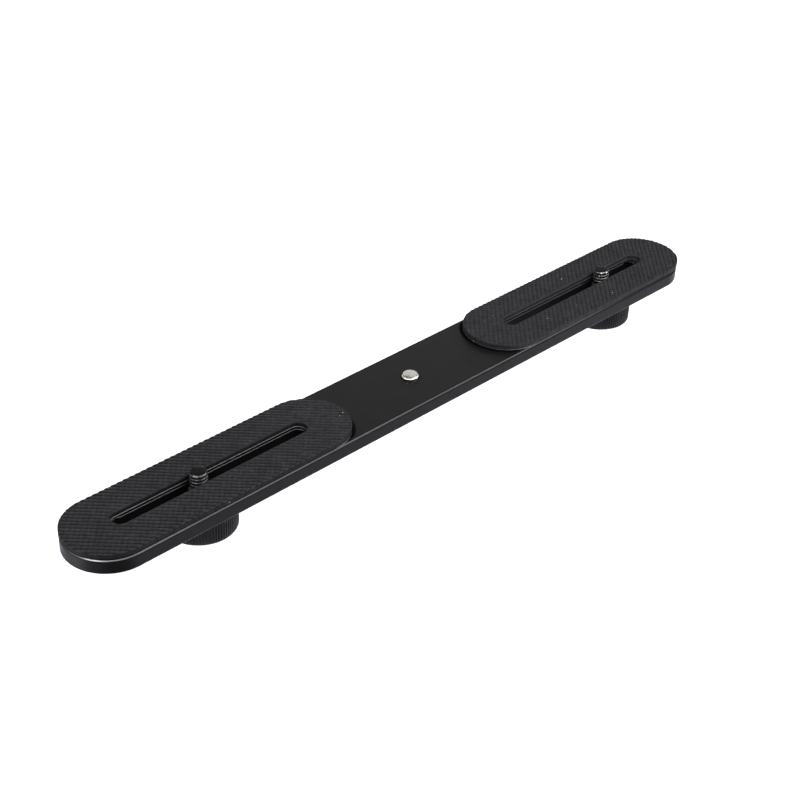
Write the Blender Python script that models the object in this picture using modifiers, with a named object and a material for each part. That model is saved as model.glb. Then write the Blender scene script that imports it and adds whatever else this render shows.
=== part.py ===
"""Twin-camera slide bar.

A flat slotted bar carries two anti-slip pads. A captive 1/4 in-20 camera
screw rides in each slot and is turned by a knurled knob under the bar.
Threads are stacks of rings, not helices.

Frame: metres, +X along the bar, +Z up, origin in the plane of the knobs'
lower faces, straight below the centre hole. Left is -X, right is +X.
"""

import math

import bmesh
import bpy

MM = 0.001

# --- bar -------------------------------------------------------------------
BAR_LENGTH = 300.4 * MM
BAR_WIDTH = 31.2 * MM
BAR_THICK = 5.3 * MM
BAR_EDGE = 0.45 * MM
BAR_BOTTOM_Z = 10.6 * MM
BAR_TOP_Z = BAR_BOTTOM_Z + BAR_THICK

# --- slots: |x| of the two end-circle centres of each slot -----------------
SLOT_INNER_X = 54.9 * MM
SLOT_OUTER_X = 130.1 * MM
SLOT_MID_X = (SLOT_INNER_X + SLOT_OUTER_X) / 2
SLOT_RUN = SLOT_OUTER_X - SLOT_INNER_X
BAR_SLOT_WIDTH = 5.6 * MM
PAD_SLOT_WIDTH = 6.4 * MM
ENTRY_X = SLOT_OUTER_X - 0.2 * MM  # tapped entry at each slot's outer end

# --- pads ------------------------------------------------------------------
PAD_LENGTH = 115.2 * MM
PAD_WIDTH = 31.1 * MM
PAD_GAP = 0.3 * MM            # room for the adhesive film
PAD_THICK = 2.35 * MM
PAD_EDGE = 0.4 * MM
PAD_CENTRE_X = 92.75 * MM
PAD_BOTTOM_Z = BAR_TOP_Z + PAD_GAP
TAPE_THICK = 0.2 * MM
TAPE_INSET = 0.6 * MM
TAPE_BOTTOM_Z = BAR_TOP_Z + (PAD_GAP - TAPE_THICK) / 2

# --- 1/4 in-20 thread ------------------------------------------------------
PITCH = 1.27 * MM
CREST_RADIUS = 6.25 * MM / 2
ROOT_RADIUS = 4.9 * MM / 2
THREAD_STEPS = 20             # segments around every threaded piece

# --- tap that cuts the threaded holes --------------------------------------
CUT_OVERRUN = 1.0 * MM        # how far a cutter runs past the face it opens
TAP_CLEARANCE = 0.27 * MM     # radial, between stud and tapped hole
TAP_MOUTH_EXTRA = 0.1 * MM    # radial, mouth beyond the tap's crest
TAP_MOUTH_DEPTH = 0.02 * MM   # straight mouth inside each face
TAP_LEAD = 0.8 * MM           # depth of each lead-in cone
TAP_RING_MARGIN = 0.05 * MM   # from a cone's small end to the ring limit

# --- camera screws (heights above the knob's lower face) -------------------
LEFT_SCREW_X = -98.5 * MM
RIGHT_SCREW_X = 109.5 * MM
SCREW_TIP_Z = BAR_TOP_Z + 5.25 * MM
SCREW_CHAMFER = 0.55 * MM
SCREW_LAND = 0.12 * MM        # plain band under the tip chamfer
SCREW_RING_MARGIN = 0.25 * MM
THREAD_END_Z = BAR_TOP_Z + 0.3 * MM
THREAD_END_CHAMFER = 0.15 * MM
NECK_DIAMETER = 4.0 * MM
HEAD_TOP_Z = 4.2 * MM
HEAD_BOTTOM_Z = 1.8 * MM
HEAD_ACROSS_FLATS = 8.0 * MM
NECK_IN_HEAD = 0.6 * MM       # overlap that joins neck and head

# --- slot bush and washer --------------------------------------------------
BUSH_FLANGE_DIAMETER = 13.0 * MM
BUSH_FLANGE_THICK = 0.9 * MM
BUSH_FLANGE_TOP_Z = BAR_BOTTOM_Z - 0.15 * MM
BUSH_KEY_WIDTH = BAR_SLOT_WIDTH - 0.3 * MM
BUSH_KEY_LENGTH = 7.3 * MM
BUSH_KEY_TOP_Z = BAR_TOP_Z - 0.8 * MM
BUSH_BORE = 4.2 * MM
BUSH_BORE_BOTTOM_Z = BAR_BOTTOM_Z - 3 * MM
WASHER_OUTER = 12.0 * MM
WASHER_BORE = 4.6 * MM
WASHER_THICK = 0.7 * MM
WASHER_EDGE = 0.12 * MM
WASHER_GAP = 0.05 * MM        # between knob and washer

# --- knob ------------------------------------------------------------------
KNOB_DIAMETER = 26.0 * MM
KNOB_HEIGHT = 7.8 * MM
KNOB_RIBS = 80
KNOB_RIB_DEPTH = 0.35 * MM
KNOB_STOCK = 0.5 * MM         # extra height at each end before trimming
KNOB_TOP_CHAMFER_IN = 0.5 * MM        # inward from the rib valleys
KNOB_TOP_CHAMFER_DROP = 0.7 * MM
KNOB_BOTTOM_CHAMFER_IN = 0.5 * MM
KNOB_BOTTOM_CHAMFER_RISE = 0.9 * MM
BLANK_CLEARANCE = 0.1 * MM    # radial, trimming blank beyond the ribs
BLANK_TURN = math.radians(1.1)
KNOB_BORE = 4.6 * MM
KNOB_FIT = 0.6 * MM           # on width, for screw head and cap in the knob
POCKET_TOP_Z = 4.5 * MM
POCKET_ACROSS_FLATS = HEAD_ACROSS_FLATS + KNOB_FIT
POCKET_OVERLAP = 0.5 * MM     # how far the pocket cutter reaches into the seat
CAP_SEAT_DIAMETER = 17.0 * MM
CAP_SEAT_Z = 1.6 * MM
CAP_DIAMETER = CAP_SEAT_DIAMETER - KNOB_FIT
CAP_TOP_Z = 1.4 * MM
CAP_BOTTOM_Z = 0.3 * MM
CAP_EDGE = 0.25 * MM

# --- centre stud -----------------------------------------------------------
STUD_TOP_Z = BAR_TOP_Z + 1.5 * MM
STUD_BOTTOM_Z = BAR_BOTTOM_Z - 5.5 * MM
STUD_CHAMFER = 0.7 * MM
STUD_LAND = 0.1 * MM          # plain band under the top chamfer
STUD_RING_MARGIN = 0.2 * MM   # from each chamfer to the ring limit
STUD_FOOT_STEP = 0.1 * MM     # radial, foot chamfer's rim inside the crest

# --- mesh settings ---------------------------------------------------------
MERGE = 0.01 * MM
SHARP_ANGLE = math.radians(30)
BEVEL_ANGLE = math.radians(50)
FLAT_ANGLE = math.radians(0.5)

for old in list(bpy.data.objects):
    bpy.data.objects.remove(old, do_unlink=True)

parts = bpy.data.collections.new("camera_slider")
cutters = bpy.data.collections.new("cutters")
bpy.context.scene.collection.children.link(parts)
bpy.context.scene.collection.children.link(cutters)


# --- materials -------------------------------------------------------------
def material(name, color, roughness, metallic):
    mat = bpy.data.materials.new(name)
    mat.use_nodes = True
    shader = mat.node_tree.nodes["Principled BSDF"]
    shader.inputs["Base Color"].default_value = (*color, 1.0)
    shader.inputs["Roughness"].default_value = roughness
    shader.inputs["Metallic"].default_value = metallic
    mat.diffuse_color = (*color, 1.0)
    return mat


black_bar = material(
    "black_anodised_bar", color=(0.022, 0.022, 0.023), roughness=0.42, metallic=0.6
)
black_rubber = material(
    "black_rubber", color=(0.035, 0.035, 0.036), roughness=0.75, metallic=0.0
)
black_tape = material("black_tape", color=(0.02, 0.02, 0.02), roughness=0.9, metallic=0.0)
black_steel = material(
    "black_oxide_steel", color=(0.03, 0.03, 0.032), roughness=0.35, metallic=0.9
)
knob_plastic = material(
    "black_knob", color=(0.022, 0.022, 0.024), roughness=0.45, metallic=0.0
)
cap_plastic = material("black_cap", color=(0.03, 0.03, 0.032), roughness=0.55, metallic=0.0)
nylon = material("grey_nylon", color=(0.06, 0.06, 0.06), roughness=0.55, metallic=0.0)
bright_steel = material(
    "bright_steel", color=(0.62, 0.61, 0.59), roughness=0.25, metallic=1.0
)
washer_steel = material(
    "washer_steel", color=(0.35, 0.35, 0.35), roughness=0.4, metallic=1.0
)


# --- outlines --------------------------------------------------------------
def stadium(length, width, steps, centre_x=0.0):
    """Full-round-ended outline, counter-clockwise, with steps per end."""
    radius = width / 2
    half = length / 2 - radius
    points = []
    for side, start in ((1, -90), (-1, 90)):
        for i in range(steps + 1):
            angle = math.radians(start + 180 * i / steps)
            x = centre_x + side * half + radius * math.cos(angle)
            points.append((x, radius * math.sin(angle)))
    return points


def slot(side, width, steps):
    """Outline around one slot's centre line."""
    return stadium(SLOT_RUN + width, width, steps, side * SLOT_MID_X)


def polar(radius, angle):
    return (radius * math.cos(angle), radius * math.sin(angle))


def circle(diameter, steps):
    return [polar(diameter / 2, 2 * math.pi * i / steps) for i in range(steps)]


def ribbed(diameter, depth, ribs):
    """Zigzag outline of a straight knurl."""
    radii = (diameter / 2, diameter / 2 - depth)
    return [polar(radii[i % 2], math.pi * i / ribs) for i in range(2 * ribs)]


def ring_thread(top_z, bottom_z, crest, root):
    """Profile of rings at the thread's pitch, from top_z down to bottom_z.

    A crest ring stands wherever z is a whole number of pitches above the
    bar's lower face, so that a stud's crests meet a tapped hole's grooves.
    """
    points = []
    k = math.floor((top_z - BAR_BOTTOM_Z) / PITCH * 2)
    while True:
        z = BAR_BOTTOM_Z + k * PITCH / 2
        if z < bottom_z:
            return points
        points.append((crest if k % 2 == 0 else root, z))
        k -= 1


# --- solids and modifiers --------------------------------------------------
def place(obj, collection, mat=None):
    """Moves the object to the collection; cutters don't render."""
    for owner in list(obj.users_collection):
        owner.objects.unlink(obj)
    collection.objects.link(obj)
    if collection is cutters:
        obj.hide_render = True
        obj.display_type = "WIRE"
    if mat is not None:
        obj.data.materials.append(mat)
    return obj


def smooth(obj):
    obj.data.shade_smooth()
    obj.data.set_sharp_from_angle(angle=SHARP_ANGLE)
    return obj


def evaluated_mesh(obj):
    bpy.context.view_layer.update()
    evaluated = obj.evaluated_get(bpy.context.evaluated_depsgraph_get())
    return bpy.data.meshes.new_from_object(evaluated)


def clean(mesh):
    """Joins the curve's walls to its faces and drops flat edges."""
    bm = bmesh.new()
    bm.from_mesh(mesh)
    bmesh.ops.remove_doubles(bm, verts=bm.verts, dist=MERGE)
    bmesh.ops.dissolve_limit(bm, angle_limit=FLAT_ANGLE, verts=bm.verts, edges=bm.edges)
    bmesh.ops.recalc_face_normals(bm, faces=bm.faces)
    bm.to_mesh(mesh)
    bm.free()


def flat_piece(name, outlines, bottom_z, top_z, collection=parts, mat=None):
    """Plate from flat outlines: the first is the edge, the rest are holes."""
    curve = bpy.data.curves.new(name, "CURVE")
    curve.dimensions = "2D"
    curve.fill_mode = "BOTH"
    curve.extrude = (top_z - bottom_z) / 2
    for outline in outlines:
        spline = curve.splines.new("POLY")
        spline.points.add(len(outline) - 1)
        for point, (x, y) in zip(spline.points, outline):
            point.co = (x, y, 0.0, 1.0)
        spline.use_cyclic_u = True
    guide = bpy.data.objects.new(name + "_outline", curve)
    parts.objects.link(guide)
    mesh = evaluated_mesh(guide)
    bpy.data.objects.remove(guide, do_unlink=True)
    mesh.name = name
    clean(mesh)
    obj = bpy.data.objects.new(name, mesh)
    obj.location.z = (top_z + bottom_z) / 2
    return smooth(place(obj, collection, mat))


def turned(name, profile, steps, collection=parts, mat=None, closed=False):
    """Solid turned about Z from (radius, z) pairs, baked to a plain mesh.

    An open profile runs down the outer side; a closed one makes a ring.
    """
    mesh = bpy.data.meshes.new(name)
    edges = [(i, i + 1) for i in range(len(profile) - 1)]
    if closed:
        edges.append((len(profile) - 1, 0))
    mesh.from_pydata([(radius, 0.0, z) for radius, z in profile], edges, [])
    obj = place(bpy.data.objects.new(name, mesh), collection, mat)
    screw = obj.modifiers.new("turn", "SCREW")
    screw.axis = "Z"
    screw.steps = steps
    screw.render_steps = steps
    screw.use_merge_vertices = True
    screw.merge_threshold = MERGE
    baked = evaluated_mesh(obj)
    obj.modifiers.clear()
    obj.data = baked
    return smooth(obj)


def prism_cutter(name, sides, across, bottom_z, top_z):
    """Regular prism with flats across the given distance."""
    bpy.ops.mesh.primitive_cylinder_add(
        vertices=sides,
        radius=across / 2 / math.cos(math.pi / sides),
        depth=top_z - bottom_z,
        location=(0, 0, (top_z + bottom_z) / 2),
    )
    obj = bpy.context.object
    obj.name = name
    return place(obj, cutters)


def boolean(obj, operation, tool):
    mod = obj.modifiers.new(operation.lower(), "BOOLEAN")
    mod.operation = operation
    mod.solver = "EXACT"
    mod.object = tool


def bevel(obj, width, segments):
    mod = obj.modifiers.new("edge", "BEVEL")
    mod.width = width
    mod.segments = segments
    mod.limit_method = "ANGLE"
    mod.angle_limit = BEVEL_ANGLE
    mod.use_clamp_overlap = True


# --- bar and centre stud ---------------------------------------------------
def make_tap(name):
    """Cutter for a threaded hole, with a lead-in cone at both faces."""
    crest = CREST_RADIUS + TAP_CLEARANCE
    root = ROOT_RADIUS + TAP_CLEARANCE
    mouth = crest + TAP_MOUTH_EXTRA
    ring_inset = TAP_LEAD + TAP_RING_MARGIN
    profile = [
        (0.0, BAR_TOP_Z + CUT_OVERRUN),
        (mouth, BAR_TOP_Z + CUT_OVERRUN),
        (mouth, BAR_TOP_Z - TAP_MOUTH_DEPTH),
        (root, BAR_TOP_Z - TAP_LEAD),
        *ring_thread(BAR_TOP_Z - ring_inset, BAR_BOTTOM_Z + ring_inset, crest, root),
        (root, BAR_BOTTOM_Z + TAP_LEAD),
        (mouth, BAR_BOTTOM_Z + TAP_MOUTH_DEPTH),
        (mouth, BAR_BOTTOM_Z - CUT_OVERRUN),
        (0.0, BAR_BOTTOM_Z - CUT_OVERRUN),
    ]
    return turned(name, profile, THREAD_STEPS, cutters)


def make_bar():
    outlines = [stadium(BAR_LENGTH, BAR_WIDTH, steps=28)]
    outlines += [slot(side, BAR_SLOT_WIDTH, steps=8) for side in (-1, 1)]
    bar = flat_piece("bar", outlines, BAR_BOTTOM_Z, BAR_TOP_Z, mat=black_bar)
    bevel(bar, BAR_EDGE, segments=1)
    boolean(bar, "DIFFERENCE", make_tap("tap"))

    # Each slot ends in a tapped entry: the screw's thread is wound through it
    # once, and its neck then slides in the narrower slot.
    for side in (-1, 1):
        entry = make_tap("entry_tap")
        entry.location.x = side * ENTRY_X
        boolean(bar, "DIFFERENCE", entry)


def make_centre_stud():
    shoulder_z = STUD_TOP_Z - STUD_CHAMFER
    foot_z = STUD_BOTTOM_Z + STUD_CHAMFER
    profile = [
        (0.0, STUD_TOP_Z),
        (CREST_RADIUS - STUD_CHAMFER, STUD_TOP_Z),
        (CREST_RADIUS, shoulder_z),
        (CREST_RADIUS, shoulder_z - STUD_LAND),
        *ring_thread(
            shoulder_z - STUD_RING_MARGIN,
            foot_z + STUD_RING_MARGIN,
            CREST_RADIUS,
            ROOT_RADIUS,
        ),
        (CREST_RADIUS - STUD_FOOT_STEP, foot_z),
        (CREST_RADIUS - STUD_CHAMFER, STUD_BOTTOM_Z),
        (0.0, STUD_BOTTOM_Z),
    ]
    turned("centre_stud", profile, THREAD_STEPS, mat=bright_steel)


# --- pads ------------------------------------------------------------------
def make_pad(side, name):
    outlines = [
        stadium(PAD_LENGTH, PAD_WIDTH, 28, side * PAD_CENTRE_X),
        slot(side, PAD_SLOT_WIDTH, steps=10),
    ]
    pad = flat_piece(
        name + "_pad", outlines, PAD_BOTTOM_Z, PAD_BOTTOM_Z + PAD_THICK, mat=black_rubber
    )
    bevel(pad, PAD_EDGE, segments=2)


def make_adhesive(side, name):
    """Film under the pad, inset from all of its edges."""
    inset = 2 * TAPE_INSET
    outlines = [
        stadium(PAD_LENGTH - inset, PAD_WIDTH - inset, 16, side * PAD_CENTRE_X),
        slot(side, PAD_SLOT_WIDTH + inset, steps=6),
    ]
    flat_piece(
        name + "_pad_adhesive",
        outlines,
        TAPE_BOTTOM_Z,
        TAPE_BOTTOM_Z + TAPE_THICK,
        mat=black_tape,
    )


# --- pieces on a screw's axis: each function returns what rides on it ------
def make_bush(name):
    """Shoulder bush: flange under the bar, key in the slot, bored through."""
    bush = flat_piece(
        name + "_slot_bush",
        [circle(BUSH_FLANGE_DIAMETER, steps=28)],
        BUSH_FLANGE_TOP_Z - BUSH_FLANGE_THICK,
        BUSH_FLANGE_TOP_Z,
        mat=nylon,
    )
    key = flat_piece(
        name + "_bush_key",
        [stadium(BUSH_KEY_LENGTH, BUSH_KEY_WIDTH, steps=8)],
        BUSH_FLANGE_TOP_Z - BUSH_FLANGE_THICK / 2,
        BUSH_KEY_TOP_Z,
        cutters,
    )
    bore = prism_cutter(
        name + "_bush_bore", 18, BUSH_BORE, BUSH_BORE_BOTTOM_Z, BAR_TOP_Z + CUT_OVERRUN
    )
    boolean(bush, "UNION", key)
    boolean(bush, "DIFFERENCE", bore)
    return [bush, key, bore]


def make_washer(name):
    """Flat washer on the knob, eased at its outer edges."""
    bottom_z = KNOB_HEIGHT + WASHER_GAP
    top_z = bottom_z + WASHER_THICK
    bore = WASHER_BORE / 2
    rim = WASHER_OUTER / 2
    profile = [
        (bore, bottom_z),
        (bore, top_z),
        (rim - WASHER_EDGE, top_z),
        (rim, top_z - WASHER_EDGE),
        (rim, bottom_z + WASHER_EDGE),
        (rim - WASHER_EDGE, bottom_z),
    ]
    return [turned(name + "_washer", profile, 28, mat=washer_steel, closed=True)]


def make_screw(name):
    """Camera screw: threaded end, plain neck, hexagon head in the knob."""
    shoulder_z = SCREW_TIP_Z - SCREW_CHAMFER
    neck = NECK_DIAMETER / 2
    profile = [
        (0.0, SCREW_TIP_Z),
        (CREST_RADIUS - SCREW_CHAMFER, SCREW_TIP_Z),
        (CREST_RADIUS, shoulder_z),
        (CREST_RADIUS, shoulder_z - SCREW_LAND),
        *ring_thread(
            shoulder_z - SCREW_RING_MARGIN,
            THREAD_END_Z + SCREW_RING_MARGIN,
            CREST_RADIUS,
            ROOT_RADIUS,
        ),
        (CREST_RADIUS, THREAD_END_Z + THREAD_END_CHAMFER),
        (CREST_RADIUS - THREAD_END_CHAMFER, THREAD_END_Z),
        (neck, THREAD_END_Z),
        (neck, HEAD_TOP_Z - NECK_IN_HEAD),
        (0.0, HEAD_TOP_Z - NECK_IN_HEAD),
    ]
    screw = turned(name + "_camera_screw", profile, THREAD_STEPS, mat=black_steel)
    head = prism_cutter(
        name + "_screw_head", 6, HEAD_ACROSS_FLATS, HEAD_BOTTOM_Z, HEAD_TOP_Z
    )
    boolean(screw, "UNION", head)
    return [screw, head]


def make_knob_blank(name):
    """Chamfered turned shape that trims the knurled outline."""
    valley = KNOB_DIAMETER / 2 - KNOB_RIB_DEPTH
    outer = KNOB_DIAMETER / 2 + BLANK_CLEARANCE
    profile = [
        (0.0, KNOB_HEIGHT),
        (valley - KNOB_TOP_CHAMFER_IN, KNOB_HEIGHT),
        (outer, KNOB_HEIGHT - KNOB_TOP_CHAMFER_DROP),
        (outer, KNOB_BOTTOM_CHAMFER_RISE),
        (valley - KNOB_BOTTOM_CHAMFER_IN, 0.0),
        (0.0, 0.0),
    ]
    blank = turned(name + "_knob_blank", profile, 72, cutters)
    blank.rotation_euler.z = BLANK_TURN
    return blank


def make_knob(name):
    """Knurled knob with a cap seat, a hexagon pocket and a bore."""
    knob = flat_piece(
        name + "_knob",
        [ribbed(KNOB_DIAMETER, KNOB_RIB_DEPTH, KNOB_RIBS)],
        -KNOB_STOCK,
        KNOB_HEIGHT + KNOB_STOCK,
        mat=knob_plastic,
    )
    blank = make_knob_blank(name)
    boolean(knob, "INTERSECT", blank)
    # Name ending, sides, width across flats, bottom z, top z.
    cuts = (
        ("_cap_seat", 28, CAP_SEAT_DIAMETER, -CUT_OVERRUN, CAP_SEAT_Z),
        ("_knob_pocket", 6, POCKET_ACROSS_FLATS, CAP_SEAT_Z - POCKET_OVERLAP, POCKET_TOP_Z),
        ("_knob_bore", 18, KNOB_BORE, POCKET_TOP_Z - CUT_OVERRUN, KNOB_HEIGHT + CUT_OVERRUN),
    )
    pieces = [knob, blank]
    for ending, *sizes in cuts:
        tool = prism_cutter(name + ending, *sizes)
        boolean(knob, "DIFFERENCE", tool)
        pieces.append(tool)
    return pieces


def make_cap(name):
    """Cap over the screw's head."""
    rim = CAP_DIAMETER / 2
    profile = [
        (0.0, CAP_TOP_Z),
        (rim, CAP_TOP_Z),
        (rim, CAP_BOTTOM_Z + CAP_EDGE),
        (rim - CAP_EDGE, CAP_BOTTOM_Z),
        (0.0, CAP_BOTTOM_Z),
    ]
    return [turned(name + "_knob_cap", profile, 28, mat=cap_plastic)]


def make_slide(name, screw_x):
    """Screw, knob and fittings with their cutters, on one movable empty."""
    axis = bpy.data.objects.new(name + "_slide_axis", None)
    parts.objects.link(axis)
    axis.location.x = screw_x
    axis.empty_display_size = 0.01
    for make in (make_bush, make_washer, make_screw, make_knob, make_cap):
        for piece in make(name):
            piece.parent = axis


# --- assembly --------------------------------------------------------------
make_bar()
make_centre_stud()
for side, name, screw_x in ((-1, "left", LEFT_SCREW_X), (1, "right", RIGHT_SCREW_X)):
    make_pad(side, name)
    make_adhesive(side, name)
    make_slide(name, screw_x)
bpy.context.view_layer.update()
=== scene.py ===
"""Looks for a twin-camera slide bar: detailed meshes, materials and a small studio.

The bar lies along X with its flat top up (+Z) and its front towards -Y. A rubber pad
covers each half of the top. A threaded stud stands in the centre, and a camera screw
with its knob below runs through each half's slot. Every piece is placed by its CAD
node's box. Metres.
"""

import math

import bmesh
import bpy
import numpy as np
from mathutils import Matrix, Vector
from mathutils.geometry import delaunay_2d_cdt


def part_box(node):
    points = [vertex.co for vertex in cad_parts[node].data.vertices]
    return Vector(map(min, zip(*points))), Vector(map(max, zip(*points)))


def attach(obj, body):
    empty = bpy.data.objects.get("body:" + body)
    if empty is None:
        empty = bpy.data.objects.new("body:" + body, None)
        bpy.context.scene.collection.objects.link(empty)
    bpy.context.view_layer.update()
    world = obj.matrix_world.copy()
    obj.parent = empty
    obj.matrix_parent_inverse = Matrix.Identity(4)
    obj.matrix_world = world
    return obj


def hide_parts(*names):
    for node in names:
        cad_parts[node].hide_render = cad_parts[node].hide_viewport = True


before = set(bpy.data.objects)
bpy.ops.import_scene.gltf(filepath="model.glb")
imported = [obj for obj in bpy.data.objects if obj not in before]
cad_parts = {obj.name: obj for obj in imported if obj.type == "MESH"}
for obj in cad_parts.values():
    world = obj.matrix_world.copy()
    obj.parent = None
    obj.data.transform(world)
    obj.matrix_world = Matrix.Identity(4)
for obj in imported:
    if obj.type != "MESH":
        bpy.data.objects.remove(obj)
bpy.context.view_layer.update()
MM = 0.001
TAU = 2 * math.pi
SIDES = {"left": -1, "right": 1}  # sign of X

# --- sizes, read from the frame where a box gives them ----------------------
bar_lo, bar_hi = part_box("bar")
BAR_TOP, BAR_BOTTOM = bar_hi.z, bar_lo.z
BAR_HALF, BAR_RADIUS = bar_hi.x, bar_hi.y
KNOBS = {name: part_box(name + "_knob") for name in SIDES}
AXIS_X = {name: (lo.x + hi.x) / 2 for name, (lo, hi) in KNOBS.items()}
stud_lo, stud_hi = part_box("centre_stud")
STUD_X = 0.0

SLOT_INNER, SLOT_OUTER = 54.9 * MM, 130.1 * MM  # centres of the slot's end rounds
BAR_SLOT_RADIUS = 2.8 * MM
PAD_SLOT_RADIUS = 3.2 * MM
ENTRY_X = 129.9 * MM  # axis of the tapped entry at the slot's outer end
PITCH = 1.27 * MM
CREST, ROOT = 3.125 * MM, 2.45 * MM  # radii of the outside threads
THREAD_END = BAR_TOP + 0.3 * MM  # foot of the camera screws' thread


# --- mesh helpers ------------------------------------------------------------
class Shape:
    """Collects points and faces.

    A point's value from 0 to 1 brightens it for edge wear and painted highlight; from 0 down to -1
    it darkens it with painted shade, as in a slot.
    """

    def __init__(self):
        self.points, self.faces, self.values, self.known = [], [], [], {}

    def ring(self, pts, wear_and_highlight=0.0):
        """Adds points; wear is one value or one for each point."""
        start = len(self.points)
        self.points.extend(map(tuple, np.asarray(pts, float)))
        self.values.extend(np.broadcast_to(wear_and_highlight, len(pts)))
        return list(range(start, len(self.points)))

    def circle(self, radius, z, count, centre_x=0.0, wear_and_highlight=0.0):
        return self.ring(at_z(circle(radius, count, centre_x), z), wear_and_highlight)

    def shared(self, p, wear_and_highlight):
        """Adds a point, or finds the equal one added before."""
        key = (round(p[0] * 1e8), round(p[1] * 1e8), round(p[2] * 1e8))
        if key not in self.known:
            self.known[key] = len(self.points)
            self.points.append(tuple(p))
            self.values.append(wear_and_highlight)
        return self.known[key]

    def face(self, *ids):
        clean = list(dict.fromkeys(ids))
        if len(clean) > 2:
            self.faces.append(clean)

    def bridge(self, a, b):
        n = len(a)
        for i in range(n):
            j = (i + 1) % n
            self.face(a[i], a[j], b[j], b[i])

    def stack(self, rings, closed=False):
        """Bridges each ring to the next, and the last to the first if closed."""
        rings = rings + rings[:1] if closed else rings
        for a, b in zip(rings, rings[1:]):
            self.bridge(a, b)

    def fan(self, ring, centre):
        c = self.ring([centre])[0]
        n = len(ring)
        for i in range(n):
            self.face(ring[i], ring[(i + 1) % n], c)

    def fill(self, loops, inside, extra=()):
        """Triangles between closed loops, with extra points in the region."""
        ids = [i for loop in loops for i in loop] + list(extra)
        flat = [Vector((self.points[i][0] * 1000, self.points[i][1] * 1000)) for i in ids]
        edges, start = [], 0
        for loop in loops:
            n = len(loop)
            edges += [(start + i, start + (i + 1) % n) for i in range(n)]
            start += n
        _, _, triangles, origin, _, _ = delaunay_2d_cdt(flat, edges, [], 1, 1e-7)
        for triangle in triangles:
            corners = [ids[origin[i][0]] for i in triangle]
            middle = np.mean([self.points[i] for i in corners], axis=0)
            if inside(middle[0], middle[1]):
                self.face(*corners)

    def build(self, name, material, body, replaced, angle, weighted=True):
        """Makes the object; edges sharper than angle, in degrees, are marked sharp."""
        mesh = bpy.data.meshes.new(name)
        mesh.from_pydata(self.points, [], self.faces)
        values = np.array(self.values, np.float32)
        for key, part in (("wear_and_highlight", np.clip(values, 0, 1)), ("painted_shade", np.clip(-values, 0, 1))):
            mesh.attributes.new(key, "FLOAT", "POINT").data.foreach_set("value", part)
        bm = bmesh.new()
        bm.from_mesh(mesh)
        loose = [v for v in bm.verts if not v.link_faces]
        bmesh.ops.delete(bm, geom=loose, context="VERTS")
        bmesh.ops.recalc_face_normals(bm, faces=bm.faces)
        if bm.calc_volume(signed=True) < 0:
            bmesh.ops.reverse_faces(bm, faces=bm.faces)
        bm.to_mesh(mesh)
        bm.free()
        mesh.shade_smooth()
        mesh.set_sharp_from_angle(angle=math.radians(angle))
        mesh.materials.append(material)
        obj = bpy.data.objects.new(name, mesh)
        bpy.context.scene.collection.objects.link(obj)
        if weighted:
            normals = obj.modifiers.new("normals", "WEIGHTED_NORMAL")
            normals.keep_sharp = True
            normals.weight = 80
        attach(obj, body)
        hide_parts(replaced)


def angles(count):
    return TAU * np.arange(count) / count


def circle(radius, count, centre_x=0.0):
    """Points at equal angles; radius is one number or one for each point."""
    a = angles(count)
    return np.c_[centre_x + radius * np.cos(a), radius * np.sin(a)]


def hexagon(flat, count):
    """Radii, at equal angles, of a hexagon with its flats at this distance."""
    sixth = math.pi / 6
    return flat / np.cos((angles(count) + sixth) % (2 * sixth) - sixth)


def at_z(xy, z):
    return np.c_[xy, np.broadcast_to(z, len(xy))]


def stadium(half, radius, steps, centre_x=0.0, straight=1):
    """Counter-clockwise outline: half length, end radius, steps to an end and to a side."""
    run = half - radius
    pts = []
    for side, start in ((1, -90), (-1, 90)):
        for i in range(steps + 1):
            a = math.radians(start + 180 * i / steps)
            pts.append((centre_x + side * run + radius * math.cos(a), radius * math.sin(a)))
        for k in range(1, straight):
            pts.append((centre_x + side * run * (1 - 2 * (k / straight)), side * radius))
    return np.array(pts)


def in_stadium(x, y, half, radius, centre_x):
    dx = max(abs(x - centre_x) - (half - radius), 0.0)
    return dx * dx + y * y < radius * radius


def edge_distance(x, y, half, radius, centre_x):
    """Signed distance to a stadium's outline, positive inside."""
    dx = np.maximum(np.abs(x - centre_x) - (half - radius), 0.0)
    return radius - np.hypot(dx, y)


QUARTER = [math.radians(90 * i / 4) for i in range(5)]


def rounded_top(top, radius):
    """(inset, z) pairs down the round at a wall's top."""
    return [(radius * (1 - math.sin(a)), top - radius * (1 - math.cos(a))) for a in QUARTER]


def rounded_foot(bottom, radius):
    """(inset, z) pairs down the round at a wall's foot."""
    return [(radius * (1 - math.cos(a)), bottom + radius * (1 - math.sin(a))) for a in QUARTER]


# --- shader helpers ----------------------------------------------------------
def plug(tree, node, inputs):
    """Sets each socket to its value, or links the given output into it."""
    for key, value in inputs.items():
        if isinstance(value, bpy.types.NodeSocket):
            tree.links.new(value, node.inputs[key])
        else:
            node.inputs[key].default_value = value


def add_node(tree, kind, inputs=None, **settings):
    node = tree.nodes.new("ShaderNode" + kind)
    for key, value in settings.items():
        setattr(node, key, value)
    plug(tree, node, inputs or {})
    return node


def add_ramp(tree, factor, stops):
    """Colour ramp; a stop is (position, colour or grey level)."""
    node = add_node(tree, "ValToRGB", {"Fac": factor})
    elements = node.color_ramp.elements
    while len(elements) < len(stops):
        elements.new(0.5)
    for element, (position, c) in zip(elements, stops):
        element.position = position
        element.color = (c, c, c, 1) if np.isscalar(c) else (*c, 1)
    return node.outputs["Color"]


def grey(level):
    return (level, level, level)


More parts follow.
